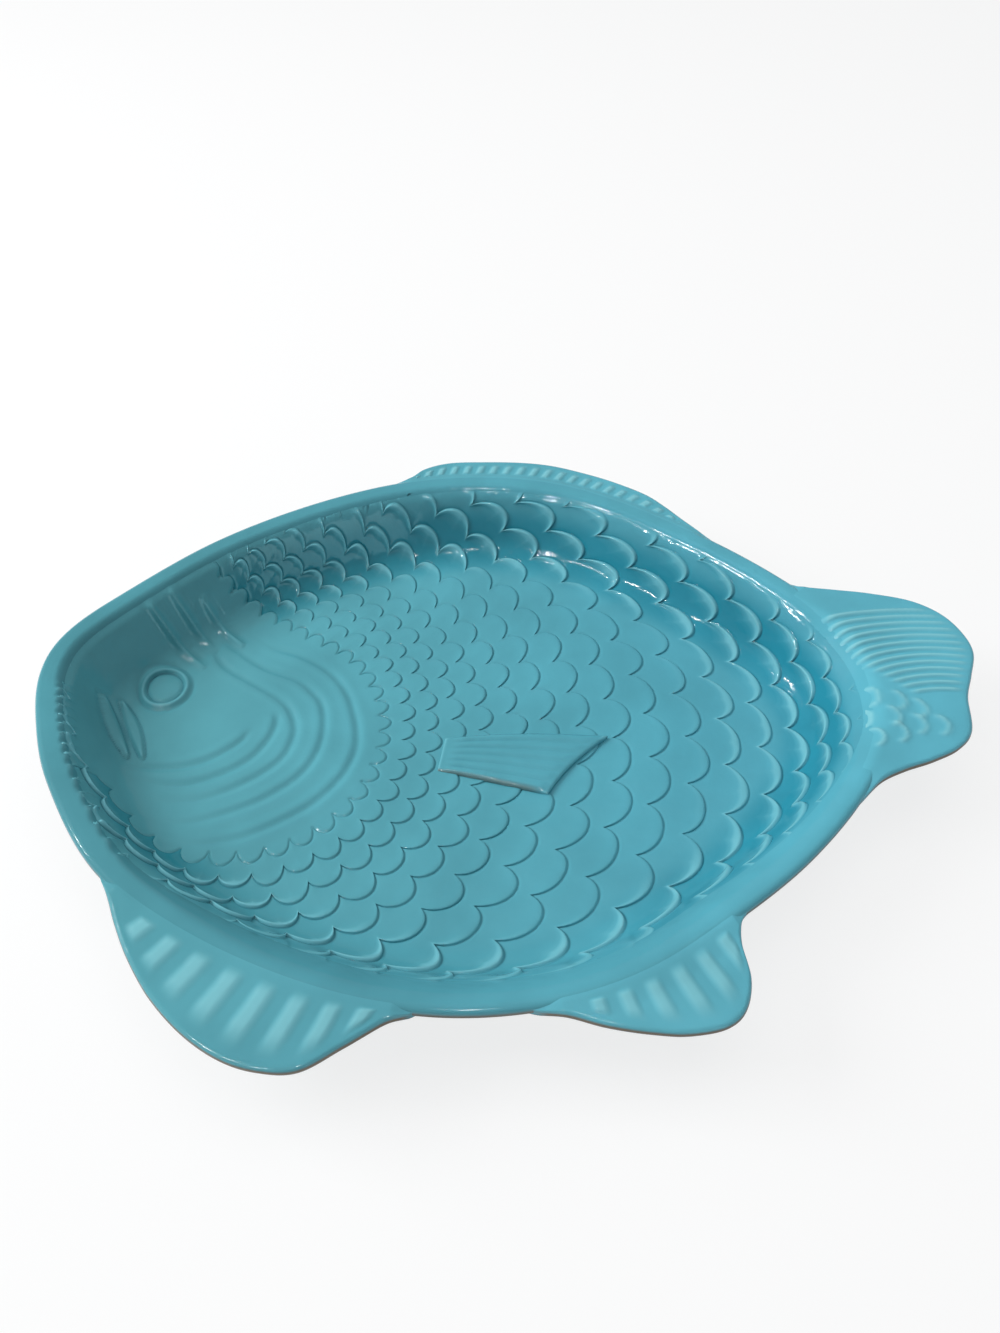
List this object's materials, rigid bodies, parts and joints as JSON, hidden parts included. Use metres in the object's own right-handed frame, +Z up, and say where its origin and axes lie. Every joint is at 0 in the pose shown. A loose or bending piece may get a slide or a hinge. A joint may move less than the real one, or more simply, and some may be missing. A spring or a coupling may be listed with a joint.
{
  "type": "fish shaped platter",
  "caption": "Deep oval serving platter in the shape of a fish lying on its side, with a relief of scales, gills, eye and mouth in the well, a flat rim, ribbed fins and a foot ring.",
  "frame": {"origin": "on the table, under the middle of the outline's box", "axes": "+X from the head to the tail, +Y from the belly to the back, +Z up"},
  "size_m": [0.4292, 0.3212, 0.044],
  "materials": {
    "glaze": "glossy opaque turquoise glaze",
    "glaze_light": "glossy turquoise glaze, thin over raised edges",
    "glaze_dark": "glossy turquoise glaze, pooled and darker",
    "bare_clay": "unglazed buff clay"
  },
  "bodies": {
    "root": {"dish_body": "glaze", "rim_band": "glaze_light", "foot_ring": "bare_clay", "dorsal_fin": "glaze", "dorsal_fin_rays": "glaze_light", "tail_fin": "glaze", "tail_fin_rays": "glaze_light", "anal_fin": "glaze", "anal_fin_rays": "glaze_light", "pelvic_fin": "glaze", "pelvic_fin_rays": "glaze_light", "pectoral_fin": "glaze_dark", "pectoral_fin_rays": "glaze_light", "eye_ring": "glaze_light", "eye_ball": "glaze_dark", "upper_lip": "glaze_light", "lower_lip": "glaze_light", "gill_bands": "glaze_dark", "nape_ridges": "glaze_dark", "shoulder_scales": "glaze", "flank_scales": "glaze_light", "tail_scales": "glaze"}
  },
  "joints": []
}
